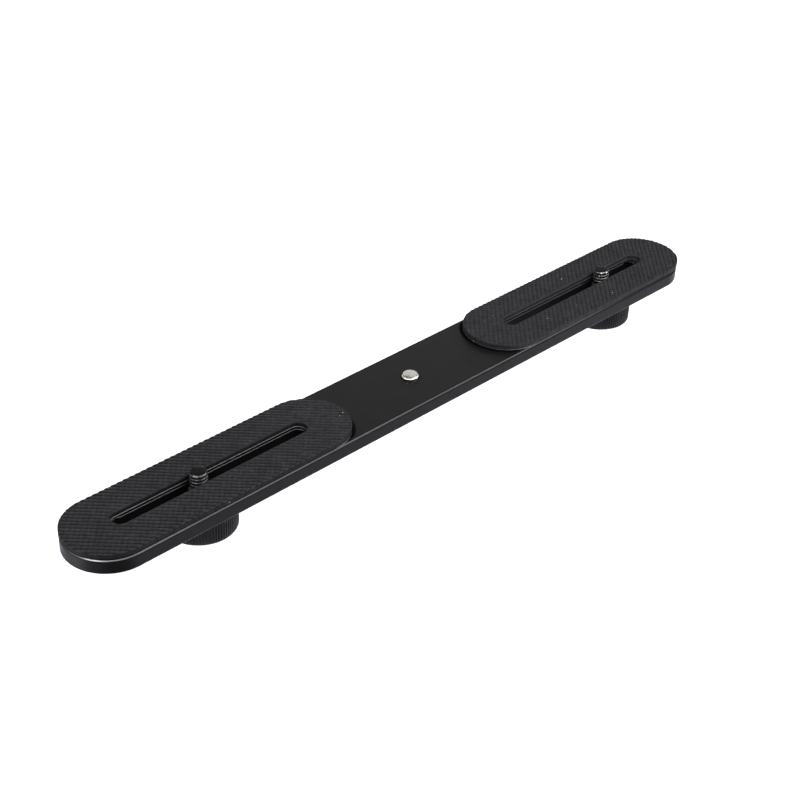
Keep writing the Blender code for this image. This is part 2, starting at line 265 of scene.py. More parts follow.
class Surface:
    """A procedural material on a Principled BSDF, in the row frame's metres."""

    def __init__(self, name, roughness, specular, metallic=0.0):
        self.material = bpy.data.materials.new(name)
        self.material.use_nodes = True
        self.tree = self.material.node_tree
        self.bsdf = self.tree.nodes["Principled BSDF"]
        plug(self.tree, self.bsdf, {"Roughness": roughness, "Metallic": metallic,
                                    "Specular IOR Level": specular, "Coat Roughness": 0.25})
        self.coord = self.node("TexCoord").outputs["Object"]

    def node(self, kind, inputs=None, **settings):
        return add_node(self.tree, kind, inputs, **settings)

    def noise(self, scale, detail=3.0, rough=0.55):
        inputs = {"Scale": scale, "Detail": detail, "Roughness": rough, "Vector": self.coord}
        return self.node("TexNoise", inputs).outputs["Fac"]

    def ramp(self, factor, *stops):
        return add_ramp(self.tree, factor, stops)

    def math(self, operation, a, b, clamp=False):
        node = self.node("Math", {0: a, 1: b}, operation=operation, use_clamp=clamp)
        return node.outputs["Value"]

    def attribute(self, name):
        return self.node("Attribute", attribute_name=name).outputs["Fac"]

    def mix(self, factor, a, b):
        """Colour mix; sockets 6 and 7 are the Mix node's colours, output 2 their result."""
        a, b = ((*c, 1) if isinstance(c, tuple) else c for c in (a, b))
        return self.node("Mix", {0: factor, 6: a, 7: b}, data_type="RGBA").outputs[2]

    def scale_colour(self, colour, factor):
        """Colour times a grey factor, above or below one."""
        return self.node("VectorMath", {0: colour, 1: factor}, operation="MULTIPLY").outputs[0]

    def bump(self, height, strength, distance, before=None):
        inputs = {"Strength": strength, "Distance": distance, "Height": height}
        if before is not None:
            inputs["Normal"] = before
        return self.node("Bump", inputs).outputs["Normal"]

    def dimmed(self, painted_shade, share, specular):
        """Specular level that loses this share where shade is painted."""
        lost = self.math("MULTIPLY", painted_shade, share)
        return self.math("MULTIPLY", self.math("SUBTRACT", 1.0, lost), specular)

    def finish(self, color, roughness, normal, **more):
        names = {"metallic": "Metallic", "specular": "Specular IOR Level"}
        inputs = {"Base Color": color, "Roughness": roughness, "Normal": normal}
        inputs.update((names[key], value) for key, value in more.items())
        plug(self.tree, self.bsdf, inputs)
        return self.material


# --- materials ---------------------------------------------------------------
def anodised(name, dark, light, rough, specular, rim):
    """Black anodising; rim is the specular gained on worn edges and painted highlights."""
    n = Surface(name, roughness=0.4, specular=specular)
    mottle = n.noise(scale=180, detail=4)
    grain = n.noise(scale=5200, detail=2, rough=0.6)
    color = n.ramp(mottle, (0.3, dark), (0.7, light))
    # patchy wear and painted highlight along the edges
    scuff = n.noise(scale=900, detail=5, rough=0.7)
    wear_and_highlight = n.attribute("wear_and_highlight")
    patches = n.math("SUBTRACT", scuff, 0.42, clamp=True)
    patches = n.math("MULTIPLY", patches, 2.2, clamp=True)
    color = n.mix(n.math("MULTIPLY", wear_and_highlight, patches, clamp=True), color, (0.03, 0.03, 0.033))
    roughness = n.ramp(n.noise(scale=340, detail=4), (0.3, rough[0]), (0.75, rough[1]))
    # painted shade: darker and duller where points are marked for it, as in the slots
    painted_shade = n.attribute("painted_shade")
    color = n.mix(painted_shade, color, (0.0015, 0.0015, 0.0016))
    roughness = n.mix(painted_shade, roughness, grey(0.85))
    level = n.dimmed(painted_shade, share=0.9, specular=specular)
    # more specular on worn edges and painted highlights
    level = n.math("ADD", level, n.math("MULTIPLY", n.attribute("wear_and_highlight"), rim))
    normal = n.bump(grain, strength=0.10, distance=0.00006)
    normal = n.bump(n.noise(scale=700), strength=0.03, distance=0.0002, before=normal)
    return n.finish(color, roughness, normal, specular=level)


def rubber(name, dark, light, rough, specular=0.3, lint_and_highlight=False):
    """Soft black; with lint it also has pale flecks, uneven tone and a pale line painted as a
    highlight on marked edges.
    """
    n = Surface(name, roughness=0.6, specular=specular)
    color = n.ramp(n.noise(scale=240, detail=4), (0.25, dark), (0.75, light))
    dusty = n.ramp(n.noise(scale=60, detail=4), (0.45, 0.0), (0.8, 0.2))
    color = n.mix(dusty, color, (0.024, 0.024, 0.025))
    if lint_and_highlight:
        cells = n.node("TexVoronoi", {"Scale": 260, "Vector": n.coord})
        speck = n.math("LESS_THAN", cells.outputs["Distance"], 0.055)
        chosen = n.math("GREATER_THAN", n.noise(scale=310, detail=0), 0.60)
        color = n.mix(n.math("MULTIPLY", speck, chosen), color, grey(0.42))
        tone = n.ramp(n.noise(scale=620, detail=2), (0.32, 0.72), (0.68, 1.3))
        color = n.scale_colour(color, tone)
    # painted shade in the grooves, on the walls and in the slot
    painted_shade = n.math("MULTIPLY", n.attribute("painted_shade"), 1.25, clamp=True)
    color = n.mix(n.math("MULTIPLY", painted_shade, 0.93), color, (0.0012, 0.0012, 0.0013))
    level = n.dimmed(painted_shade, share=0.85, specular=specular)
    if lint_and_highlight:
        # pale line painted as a highlight at the foot and on the slot's ledge
        wear_and_highlight = n.attribute("wear_and_highlight")
        patches = n.ramp(n.noise(scale=700, detail=4), (0.36, 0.45), (0.6, 1.0))
        color = n.mix(n.math("MULTIPLY", wear_and_highlight, patches, clamp=True), color, grey(0.30))
    roughness = n.ramp(n.noise(scale=500), (0.3, rough[0]), (0.7, rough[1]))
    normal = n.bump(n.noise(scale=4200, rough=0.65), strength=0.3, distance=0.0001)
    normal = n.bump(n.noise(scale=1100, detail=2), strength=0.12, distance=0.0003, before=normal)
    return n.finish(color, roughness, normal, specular=level)


def steel(name, dark, light, rough, turned):
    """Bright metal; turned adds lathe marks about the stud's axis."""
    n = Surface(name, roughness=0.3, specular=0.5, metallic=1.0)
    color = n.ramp(n.noise(scale=700, detail=4), (0.3, dark), (0.7, light))
    # painted shade in the thread's roots and inside the bar's hole
    color = n.mix(n.math("MULTIPLY", n.attribute("painted_shade"), 0.98), color, grey(0.003))
    roughness = n.ramp(n.noise(scale=1300), (0.3, rough[0]), (0.7, rough[1]))
    if turned:
        place = n.node("Mapping", {"Location": (-STUD_X, 0, 0), "Vector": n.coord})
        rings = n.node(
            "TexWave",
            {"Scale": 1500, "Distortion": 1.2, "Detail": 2, "Vector": place.outputs["Vector"]},
            wave_type="RINGS", rings_direction="Z")
        normal = n.bump(rings.outputs["Fac"], strength=0.12, distance=0.00005)
        normal = n.bump(n.noise(scale=2600), strength=0.12, distance=0.00006, before=normal)
    else:
        normal = n.bump(n.noise(scale=2600), strength=0.15, distance=0.00006)
    return n.finish(color, roughness, normal)


def black_oxide(name, most):
    """Blackened steel, rubbed bright along the thread's crests and painted with a highlight there
    by direction; most is the limit of both.
    """
    n = Surface(name, roughness=0.25, specular=0.04)
    dark, light = (0.002, 0.002, 0.0022), (0.004, 0.004, 0.0044)
    black = n.ramp(n.noise(scale=700, detail=4), (0.3, dark), (0.7, light))
    wear_and_highlight = n.attribute("wear_and_highlight")
    patches = n.ramp(n.noise(scale=1400, detail=4), (0.38, 0.10), (0.60, most))
    # crest rub together with painted highlight
    rub_and_painted_glint = n.math("MULTIPLY", wear_and_highlight, patches, clamp=True)
    color = n.mix(rub_and_painted_glint, black, (0.40, 0.39, 0.385))
    roughness = n.ramp(n.noise(scale=1300), (0.3, 0.18), (0.7, 0.32))
    normal = n.bump(n.noise(scale=2600), strength=0.12, distance=0.00006)
    return n.finish(color, roughness, normal, metallic=rub_and_painted_glint)


MAT_BAR = anodised("bar_black_anodised", dark=(0.0032, 0.0032, 0.0034),
                   light=(0.0046, 0.0046, 0.005), rough=(0.32, 0.38), specular=0.092, rim=0.62)
MAT_KNOB = anodised("knob_black_anodised", dark=(0.0032, 0.0032, 0.0035),
                    light=(0.0055, 0.0055, 0.006), rough=(0.34, 0.46), specular=0.16, rim=0.15)
MAT_PAD = rubber("pad_black_rubber", dark=(0.0118, 0.0114, 0.0131),
                 light=(0.0176, 0.0170, 0.0193), rough=(0.5, 0.68), specular=0.11, lint_and_highlight=True)
MAT_TAPE = rubber("tape_black", dark=grey(0.002), light=grey(0.004), rough=(0.8, 0.9),
                  specular=0.1)
MAT_CAP = rubber("cap_black_plastic", dark=(0.008, 0.008, 0.0085),
                 light=(0.013, 0.013, 0.0135), rough=(0.42, 0.55))
MAT_BUSH = rubber("bush_grey_nylon", dark=grey(0.014), light=grey(0.022), rough=(0.45, 0.55))
MAT_WASHER = steel("washer_zinc", dark=(0.36, 0.36, 0.37), light=grey(0.5),
                   rough=(0.28, 0.42), turned=False)
# the right screw's crests take a brighter painted highlight
MAT_SCREW = {name: black_oxide(name + "_screw_black_oxide", most)
             for name, most in (("left", 0.38), ("right", 0.85))}
MAT_STUD = steel("stud_bright_nickel", dark=(0.60, 0.57, 0.53), light=(0.74, 0.71, 0.67),
                 rough=(0.22, 0.34), turned=True)


# --- bar ---------------------------------------------------------------------
SLOT_STEPS = 20  # points round a slot's inner end
ENTRY_STEPS = 64  # points round its tapped entry
ENTRY_RADIUS = 3.42  # mm, at the root of the thread
HOLE_RADIUS = 3.4  # mm
HOLE_STEPS = 72


def thread_height(turns):
    """0 at the root of a 60 degree thread, 1 on its crest."""
    w = np.abs(2 * (turns - np.floor(turns)) - 1)
    s = np.clip((0.88 - w) / 0.76, 0, 1)
    return s * s * (3 - 2 * s)


def thread_levels(top, bottom):
    """Heights down a tapped hole, eight to a pitch."""
    z = top
    while z > bottom:
        yield z
        z -= PITCH / 8


def slot_outline(side, grow, entry):
    """Slot with a round inner end and a tapped entry bulge at the outer end.

    grow widens the whole slot; entry is the entry's radius, one number or one
    for each of the bulge's points.
    """
    w = BAR_SLOT_RADIUS + grow
    a = np.radians(np.linspace(90, 270, SLOT_STEPS))
    inner = np.c_[SLOT_INNER + w * np.cos(a), w * np.sin(a)]
    radius = np.broadcast_to(np.maximum(entry, w * 1.004), ENTRY_STEPS)
    first = -math.pi + math.asin(w / radius[0])
    last = math.pi - math.asin(w / radius[-1])
    b = np.linspace(first, last, ENTRY_STEPS)
    outer = np.c_[ENTRY_X + radius * np.cos(b), radius * np.sin(b)]
    pts = np.vstack([inner, outer])
    if side < 0:
        pts[:, 0] *= -1
    return pts


def bar_outside(s):
    """Rings from the top's rim down to the foot."""
    base = stadium(BAR_HALF, BAR_RADIUS, 72, straight=24)
    x, y = base[:, 0], base[:, 1]
    run = BAR_HALF - BAR_RADIUS
    outward = np.c_[x - np.clip(x, -run, run), y] / BAR_RADIUS
    # the broken edge is wider at the front; along it runs a painted highlight, brightest round the
    # left end and turning to painted shade at the right end
    broad = np.interp(y, (-BAR_RADIUS, 0.0, BAR_RADIUS), (0.56, 0.44, 0.34)) * MM
    rub_and_painted_glint = np.interp(x, (-0.142, -0.135, -0.11, -0.03, 0.03, 0.085, 0.115, 0.15),
                       (1.0, 0.4, 0.2, 0.25, 0.28, 0.2, -0.5, -0.6))
    lower_painted_light = np.interp(x, (-0.142, -0.135, -0.11, -0.05, 0.0, 0.15),
                      (1.0, 0.4, 0.2, 0.1, -0.3, -0.4))
    # inset and drop as multiples of the edge's breadth, value: painted highlight above zero,
    # painted shade below
    edge = ((2.0, 0.0, 0.0), (1.03, 0.0, -0.2), (0.9, 0.03, 0.3 * rub_and_painted_glint), (0.78, 0.12, rub_and_painted_glint),
            (0.12, 0.78, lower_painted_light), (0.03, 0.92, -0.3), (0.0, 1.05, -0.6), (0.0, 1.9, 0.0))
    # inset and height in mm, value: the values paint a highlight along the bottom edge
    foot = ((0.0, 0.34, 0.0), (0.02, 0.20, 0.8), (0.08, 0.09, 1.0), (0.2, 0.0, 0.0))
    rings = [s.ring(at_z(base - outward * (broad * inset)[:, None], BAR_TOP - broad * drop), value)
             for inset, drop, value in edge]
    rings += [s.ring(at_z(base - outward * inset * MM, BAR_BOTTOM + z * MM), value)
              for inset, z, value in foot]
    s.stack(rings)
    return rings


def bar_slot(s, side):
    """Wall of one slot, threaded round its entry."""
    def level(grow, z, radius, value):
        return s.ring(at_z(slot_outline(side, grow * MM, radius * MM), z), value)

    # growth, drop and entry radius in mm, value: a painted highlight line along the slot's edge,
    # weaker in the right slot, then painted shade
    mouth = ((0.20, 0.0, 3.72, 0.0), (0.14, -0.03, 3.66, 0.5), (0.07, -0.10, 3.55, 0.5),
             (0.02, -0.20, 3.45, 0.0), (0.0, -0.30, ENTRY_RADIUS, -1.0))
    # growth, height and entry radius in mm, value: painted shade
    foot = ((0.0, 0.4, ENTRY_RADIUS, -1.0), (0.1, 0.12, 3.55, -1.0), (0.25, 0.0, 3.68, 0.0))
    levels = []
    for grow, z, radius, value in mouth:
        value = value * 0.6 if side > 0 and value > 0 else value
        levels.append(level(grow, BAR_TOP + z * MM, radius, value))

    turn = np.linspace(-math.pi, math.pi, ENTRY_STEPS) / TAU
    bearing = np.degrees(turn * TAU)
    for z in thread_levels(BAR_TOP - 0.45 * MM, BAR_BOTTOM + 0.5 * MM):
        tall = thread_height((z - BAR_BOTTOM) / PITCH - side * turn)
        pts = slot_outline(side, 0.0, (ENTRY_RADIUS - 0.52 * tall) * MM)
        values = np.full(len(pts), -1.0)
        entry = values[SLOT_STEPS:]
        # painted shade down the walls, with painted glints on the tapped entry's crests at its
        # outer end
        if side > 0:
            values[:SLOT_STEPS] = -0.55
            if z > BAR_TOP - 1.1 * MM:
                painted_glint = np.maximum(np.exp(-(((bearing - 66) / 9) ** 2)),
                                 np.exp(-(((bearing - 32) / 9) ** 2)))
                entry[:] = 2.4 * painted_glint * np.minimum(1.0, 1.6 * tall) - 1.0
        else:
            far = np.abs(pts[SLOT_STEPS:, 0]) > ENTRY_X + 0.6 * MM
            entry[far] = 1.6 * tall[far] - 1.0
        levels.append(s.ring(at_z(pts, z), values))

    levels += [level(grow, BAR_BOTTOM + z * MM, radius, value) for grow, z, radius, value in foot]
    s.stack(levels)
    return levels


def bar_hole(s):
    """Wall of the centre hole, painted in shade, with a shallow thread so that the stud turns
    freely.
    """
    def level(radius, z, value):
        return s.circle(radius * MM, z, HOLE_STEPS, wear_and_highlight=value)

    # radius and drop in mm, value
    mouth = ((3.46, 0.0, 0.0), (3.42, -0.04, 0.0), (HOLE_RADIUS, -0.10, -0.8),
             (HOLE_RADIUS, -0.3, -1.0))
    levels = [level(radius, BAR_TOP + z * MM, value) for radius, z, value in mouth]
    for z in thread_levels(BAR_TOP - 0.5 * MM, BAR_BOTTOM + 0.45 * MM):
        tall = float(thread_height((z - BAR_BOTTOM) / PITCH))
        levels.append(level(HOLE_RADIUS - 0.20 * tall, z, -1.0))
    for radius, z in ((HOLE_RADIUS, 0.36), (3.6, 0.14), (3.75, 0.0)):
        levels.append(level(radius, BAR_BOTTOM + z * MM, 0.0))
    s.stack(levels)
    return levels


def contact_shade(s):
    """Points on the bar's top that paint a contact shadow along the pads' inner ends."""
    ids = []
    for pad in PADS.values():
        # offset from the pad's outline in mm, value
        for off, value in ((-0.6, -1.0), (-0.1, -1.0), (0.75, -1.0), (1.7, 0.0)):
            pts = stadium(pad.half + off * MM, pad.radius + off * MM, 130, pad.centre)
            at_inner_end = (pad.centre - pts[:, 0]) * pad.side > pad.half - pad.radius
            keep = at_inner_end & (np.abs(pts[:, 1]) < BAR_RADIUS - 1.5 * MM)
            ids += s.ring(at_z(pts[keep], BAR_TOP), value)
    return ids


def make_bar():
    s = Shape()
    walls = [bar_outside(s), *(bar_slot(s, side) for side in (-1, 1)), bar_hole(s)]
    holes = [np.array([s.points[i][:2] for i in wall[0]]) for wall in walls[1:]]
    feet = [np.array([s.points[i][:2] for i in wall[-1]]) for wall in walls[1:]]

    def clear_of(outlines):
        def inside(x, y):
            for outline in outlines:
                x1, y1 = outline[:, 0], outline[:, 1]
                x2, y2 = np.roll(x1, -1), np.roll(y1, -1)
                rise = np.where(y2 == y1, 1e-12, y2 - y1)
                crossed = ((y1 > y) != (y2 > y)) & (x < (x2 - x1) * (y - y1) / rise + x1)
                if crossed.sum() % 2:
                    return False
            return True

        return inside

    s.fill([wall[0] for wall in walls], clear_of(holes), contact_shade(s))
    s.fill([wall[-1] for wall in walls], clear_of(feet))
    s.build("bar_body", MAT_BAR, "bar", "bar", angle=32)


# --- pads --------------------------------------------------------------------
KNURL = 1.71 * MM  # spacing of the grooves
KNURL_DEEP, KNURL_SHALLOW = 0.32 * MM, 0.17 * MM
KNURL_FLANK = 0.58 * MM
PAD_RIM = 0.24 * MM  # round of the outer top edge
PAD_LIP = 0.45 * MM  # round of the slot's mouth
PAD_SLOT_HALF = (SLOT_OUTER - SLOT_INNER) / 2 + PAD_SLOT_RADIUS


class Pad:
    """Sizes of one pad: a stadium with a slot."""

    def __init__(self, name, side):
        lo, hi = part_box(name + "_pad")
        self.side = side
        self.centre, self.half = (lo.x + hi.x) / 2, (hi.x - lo.x) / 2
        self.radius, self.top, self.bottom = hi.y, hi.z, lo.z
        self.slot_centre = side * (SLOT_INNER + SLOT_OUTER) / 2


PADS = {name: Pad(name, side) for name, side in SIDES.items()}


def groove(t):
    """1 along a groove's bottom, 0 beyond its flanks."""
    distance = np.abs((t / KNURL - np.round(t / KNURL)) * KNURL)
    return np.clip(1 - distance / KNURL_FLANK, 0, 1)


def lattice(pad, x, y):
    """Groove depth and share of painted groove shade: grooves cut deeper one way, mirrored by
    side, shallow ones across.
    """
    u = ((x - pad.centre) + y) / math.sqrt(2)
    v = (y - (x - pad.centre)) / math.sqrt(2)
    main, cross = (groove(u), groove(v)) if pad.side < 0 else (groove(v), groove(u))
    return np.maximum(KNURL_DEEP * main, KNURL_SHALLOW * cross), np.maximum(main, 0.32 * cross)


def groove_value(x, dark):
    """Painted groove shade as a point value, stronger towards the left end."""
    # painted shade over the whole right pad as well
    base = np.interp(x, (-0.036, 0.036), (0.0, 0.10))
    strength = np.interp(x, (-0.15, -0.09, -0.036, 0.036, 0.15), (0.72, 0.68, 0.48, 0.28, 0.42))
    return -base - (1 - base) * dark * strength


def pad_outside(s, pad):
    """Rings from the rim, which the grooves run out through, down to the foot."""
    def outline(inset):
        return stadium(pad.half - inset, pad.radius - inset, 120, pad.centre, straight=280)

    rings = []
    for inset, z in rounded_top(pad.top - 0.04 * MM, PAD_RIM):
        pts = outline(inset)
        depth, dark = lattice(pad, pts[:, 0], pts[:, 1])
        rings.append(s.ring(at_z(pts, z - 0.9 * depth), groove_value(pts[:, 0], dark)))
    # painted shade on the side wall, strong on the left pad
    painted_wall_shade = -0.42 if pad.side < 0 else -0.05
    for z, value in ((pad.top - 0.72 * MM, painted_wall_shade), (pad.bottom + 0.45 * MM, painted_wall_shade),
                     (pad.bottom + 0.34 * MM, 1.5 * painted_wall_shade)):
        rings.append(s.ring(at_z(outline(0.0), z), value))
    for inset, z in [(0.0, pad.bottom + 0.22 * MM)] + rounded_foot(pad.bottom, 0.12 * MM):
        pts = outline(inset)
        # painted highlight on the foot round the pad's inner end, painted shade on the rest of it
        past = (pad.centre - pts[:, 0]) * pad.side - (pad.half - pad.radius)
        value = np.interp(past / MM, (-2, 0, 4, 9, 15), (3 * painted_wall_shade, 0.5, 0.9, 0.4, 0.25))
        rings.append(s.ring(at_z(pts, z), value))
    s.stack(rings)
    return rings


def pad_slot(s, pad):
    """The slot's wall: rounded mouth, then a narrow ledge near its foot."""
    # painted shade in the mouth and down the wall, and a painted highlight line on the ledge, both
    # weaker in the right pad
    painted_mouth_shade, painted_ledge_line = (1.0, 0.35) if pad.side < 0 else (0.45, 0.15)
    mouth = rounded_top(pad.top - 0.05 * MM, PAD_LIP)
    stations = [(inset, z, -painted_mouth_shade * (0.25 + 0.09 * k)) for k, (inset, z) in enumerate(mouth)]
    # outset and height in mm, value
    ledge = ((0.0, 0.80, -0.7 * painted_mouth_shade), (-0.01, 0.72, painted_ledge_line), (-0.05, 0.52, painted_ledge_line),
             (-0.08, 0.42, -0.6), (-0.09, 0.34, -1.0), (-0.09, 0.08, -1.0), (-0.02, 0.0, -1.0))
    stations += [(out * MM, pad.bottom + z * MM, value) for out, z, value in ledge]
    rings = []
    for out, z, value in stations:
        pts = stadium(PAD_SLOT_HALF + out, PAD_SLOT_RADIUS + out, 20, pad.slot_centre,
                      straight=150)
        rings.append(s.ring(at_z(pts, z), value))
    s.stack(rings)
    return rings


def pad_knurl(s, pad):
    """Points of the knurled top: a lattice at 45 degrees, four lines to each pitch."""
    offsets = np.array([0.0, KNURL_FLANK, KNURL / 2, KNURL - KNURL_FLANK])
    count = int(pad.half / KNURL * 1.5) + 4
    lines = (np.arange(-count, count + 1)[:, None] * KNURL + offsets[None, :]).ravel()
    u, v = (axis.ravel() for axis in np.meshgrid(lines, lines))
    x = pad.centre + (u - v) / math.sqrt(2)
    y = (u + v) / math.sqrt(2)
    from_rim = edge_distance(x, y, pad.half - PAD_RIM, pad.radius - PAD_RIM, pad.centre)
    from_slot = -edge_distance(x, y, PAD_SLOT_HALF + PAD_LIP, PAD_SLOT_RADIUS + PAD_LIP,
                               pad.slot_centre)
    keep = np.minimum(from_rim, from_slot) > 0.16 * MM
    x, y = x[keep], y[keep]
    # the grooves fade out towards the slot
    fade = np.clip((from_slot[keep] - 0.05 * MM) / (0.45 * MM), 0, 1)
    depth, dark = lattice(pad, x, y)
    z = pad.top - 0.03 * MM - depth * fade + 0.03 * MM * fade
    return s.ring(np.c_[x, y, z], groove_value(x, dark * fade))


def make_pad(name):
    s = Shape()
    pad = PADS[name]
    outside, slot = pad_outside(s, pad), pad_slot(s, pad)

    def clear_of_slot(grow):
        return lambda x, y: not in_stadium(x, y, PAD_SLOT_HALF + grow, PAD_SLOT_RADIUS + grow,
                                           pad.slot_centre)

    s.fill([outside[0], slot[0]], clear_of_slot(PAD_LIP), pad_knurl(s, pad))
    s.fill([outside[-1], slot[-1]], clear_of_slot(-0.02 * MM))
    s.build(name + "_pad_knurled", MAT_PAD, "bar", name + "_pad", angle=40,
            weighted=False)


# --- threads -----------------------------------------------------------------
THREAD_STEPS = 72  # points round a thread
LEVELS = 10  # points to a pitch


def chamfers(high, high_slope, low, low_slope):
    """Largest radius allowed at a height: narrowing above high and below low."""
    def limit(z):
        return min(CREST - max(0.0, z - high) * high_slope,
                   CREST - max(0.0, low - z) * low_slope)

    return limit


def helix(s, axis, z0, z1, limit, value, phase_z, bevel=0.0, bright=None):
    """Right-handed thread from z0 up to z1. Returns its lowest and highest rings.

    limit(z) is the largest radius at a height; value(tall, z) is a point's value from
    its place between root and crest, bevel its value on the upper chamfer, bright(a)
    a factor by direction that paints a highlight; phase_z is a height of the root at angle 0.
    """
    base = z0 - PITCH
    top = LEVELS * (int(math.ceil((z1 - base) / PITCH)) + 1)
    grid = []
    for j in range(THREAD_STEPS):
        turn = j / THREAD_STEPS
        a = TAU * j / THREAD_STEPS
        column = []
        for k in range(top + LEVELS + 1):
            z = min(max(base + PITCH * (turn + k / LEVELS), z0), z1)
            tall = float(thread_height((z - phase_z) / PITCH - turn))
            full = ROOT + (CREST - ROOT) * tall
            r = min(full, limit(z))
            if full - r < 0.05 * MM:
                wear_and_highlight = value(tall, z)
            else:
                wear_and_highlight = bevel if z > (z0 + z1) / 2 else 0.0
            if wear_and_highlight > 0 and bright is not None:
                wear_and_highlight *= bright(a)
            column.append(s.shared((axis + r * math.cos(a), r * math.sin(a), z), wear_and_highlight))
        grid.append(column)
    for j in range(THREAD_STEPS):
        a, b = grid[j], grid[(j + 1) % THREAD_STEPS]
        shift = LEVELS if j == THREAD_STEPS - 1 else 0
        for k in range(top):
            s.face(a[k], b[k + shift], b[k + 1 + shift], a[k + 1])
    return [column[0] for column in grid], [column[-1] for column in grid]


# directions, in degrees, of each screw's painted highlight on its thread
BRIGHT_LOBES = {"left": (200, 275), "right": (215, 255)}


def make_screw(name):
    s = Shape()
    axis = AXIS_X[name]
    lo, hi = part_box(name + "_camera_screw")
    tip = hi.z
    thread_top = tip - 0.06 * MM
    chamfer = 0.52 * MM

    def value(tall, z):
        return (tall - 0.8) / (0.2 if tall > 0.8 else 0.8)

    # painted highlight: the crests are brightest in these directions
    def bright(a):
        first, second = (math.degrees(math.acos(math.cos(a - math.radians(centre))))
                         for centre in BRIGHT_LOBES[name])
        return 0.2 + 0.8 * max(math.exp(-((first / 30) ** 2)), math.exp(-((second / 26) ** 2)))

    def ring(radius, z):
        return s.circle(radius, z, THREAD_STEPS, axis)

    limit = chamfers(thread_top - chamfer, 0.95, THREAD_END + 0.35 * MM, 1.2)
    low, high = helix(s, axis, THREAD_END, thread_top, limit, value, phase_z=tip - 0.55 * MM,
                      bevel=0.8, bright=bright)
    crown = ring(CREST - chamfer - 0.09 * MM, tip)
    dish = ring(1.1 * MM, tip - 0.03 * MM)
    s.stack([high, crown, dish])
    s.fan(dish, (axis, 0, tip - 0.035 * MM))
    # plain neck, under-head fillet and hexagon head
    head_top, head_bottom = lo.z + 2.4 * MM, lo.z
    rings = [low]
    for radius, z in ((2.12, THREAD_END), (2.0, THREAD_END - 0.12 * MM),
                      (2.0, head_top + 0.25 * MM), (2.08, head_top + 0.08 * MM),
                      (2.25, head_top)):
        rings.append(ring(radius * MM, z))
    head = hexagon(3.98 * MM, THREAD_STEPS)
    # scale, z, largest radius in mm
    for scale, z, cap in ((0.93, head_top, 3.95), (1.0, head_top - 0.2 * MM, 4.5),
                          (1.0, head_bottom + 0.2 * MM, 4.5), (0.93, head_bottom, 3.95)):
        rings.append(ring(np.minimum(head * scale, cap * MM), z))
    s.stack(rings)
    s.fan(rings[-1], (axis, 0, head_bottom))
    s.build(name + "_screw_threaded", MAT_SCREW[name], name + "_camera_screw",
            name + "_camera_screw", angle=50, weighted=False)


def make_stud():
    s = Shape()
    top, bottom = stud_hi.z, stud_lo.z
    thread_top, thread_bottom = top - 0.05 * MM, bottom + 0.05 * MM
    chamfer, slope = 0.6 * MM, 0.9

    def value(tall, z):
        # painted shade where it stands in the bar's hole and in the thread's roots
        return -1.0 if BAR_BOTTOM < z < BAR_TOP + 0.1 * MM else 2 * tall - 1

    limit = chamfers(thread_top - chamfer, slope, thread_bottom + chamfer, slope)
    low, high = helix(s, STUD_X, thread_bottom, thread_top, limit, value,
                      phase_z=top - 1.0 * MM)
    flat = CREST - chamfer * slope
    for end, z, sign in ((high, top, 1), (low, bottom, -1)):
        rim = s.circle(flat - 0.08 * MM, z, THREAD_STEPS, wear_and_highlight=0.2)
        dish = s.circle(0.9 * MM, z - sign * 0.025 * MM, THREAD_STEPS)
        s.stack([end, rim, dish])
        s.fan(dish, (STUD_X, 0, z - sign * 0.03 * MM))
    s.build("stud_threaded", MAT_STUD, "centre_stud", "centre_stud", angle=50,
            weighted=False)


# --- knobs and the pieces between knob and bar --------------------------------
RIBS = 80
RIB_PROFILE = np.array([0.0, 0.12, 0.78, 1.0, 0.78, 0.12])  # depth across one groove
RIB_DEPTH = 0.28 * MM
TURNED_STEPS = 96  # points round the cap, washer and bush


def make_knob(name):
    s = Shape()
    lo, hi = KNOBS[name]
    outer, height = (hi.x - lo.x) / 2, hi.z - lo.z
    count = RIBS * len(RIB_PROFILE)
    cut = np.tile(RIB_PROFILE, RIBS)
    socket = hexagon(4.3 * MM, count)
    # radius, height above the foot, then share of the rib depth and wear
    stations = (
        # bore, hexagon socket and recess below
        (2.42 * MM, height - 0.02 * MM), (2.3 * MM, height - 0.16 * MM), (2.3 * MM, 4.5 * MM),
        (socket, 4.5 * MM), (socket, 1.6 * MM), (8.5 * MM, 1.6 * MM), (8.5 * MM, 0.22 * MM),
        # underside
        (8.62 * MM, 0.06 * MM), (8.8 * MM, 0.0), (10.4 * MM, 0.0),
        (10.55 * MM, 0.03 * MM, 0.0, 0.5), (outer - 0.95 * MM, 0.03 * MM),
        (outer - 0.72 * MM, 0.06 * MM, 0.0, 0.6), (outer - 0.42 * MM, 0.26 * MM, 0.0, 0.7),
        # ribbed grip
        (outer - 0.12 * MM, 0.62 * MM, 0.8, 0.6), (outer, 0.86 * MM, 1.0, 0.15),
        (outer, height / 2, 1.0, 0.0), (outer, height - 0.75 * MM, 1.0, 0.15),
        (outer - 0.1 * MM, height - 0.52 * MM, 0.8, 0.6),
        # top
        (outer - 0.4 * MM, height - 0.2 * MM, 0.0, 0.7),
        (outer - 0.62 * MM, height - 0.05 * MM, 0.0, 0.6), (outer - 0.85 * MM, height),
        (7.2 * MM, height), (7.05 * MM, height - 0.04 * MM), (2.62 * MM, height - 0.04 * MM),
    )

    def ring(radius, z, ribs=0.0, wear_and_highlight=0.0):
        return s.circle(radius - RIB_DEPTH * ribs * cut, lo.z + z, count, AXIS_X[name], wear_and_highlight)

    s.stack([ring(*station) for station in stations], closed=True)
    s.build(name + "_knob_knurled", MAT_KNOB, name + "_camera_screw", name + "_knob",
            angle=38, weighted=False)


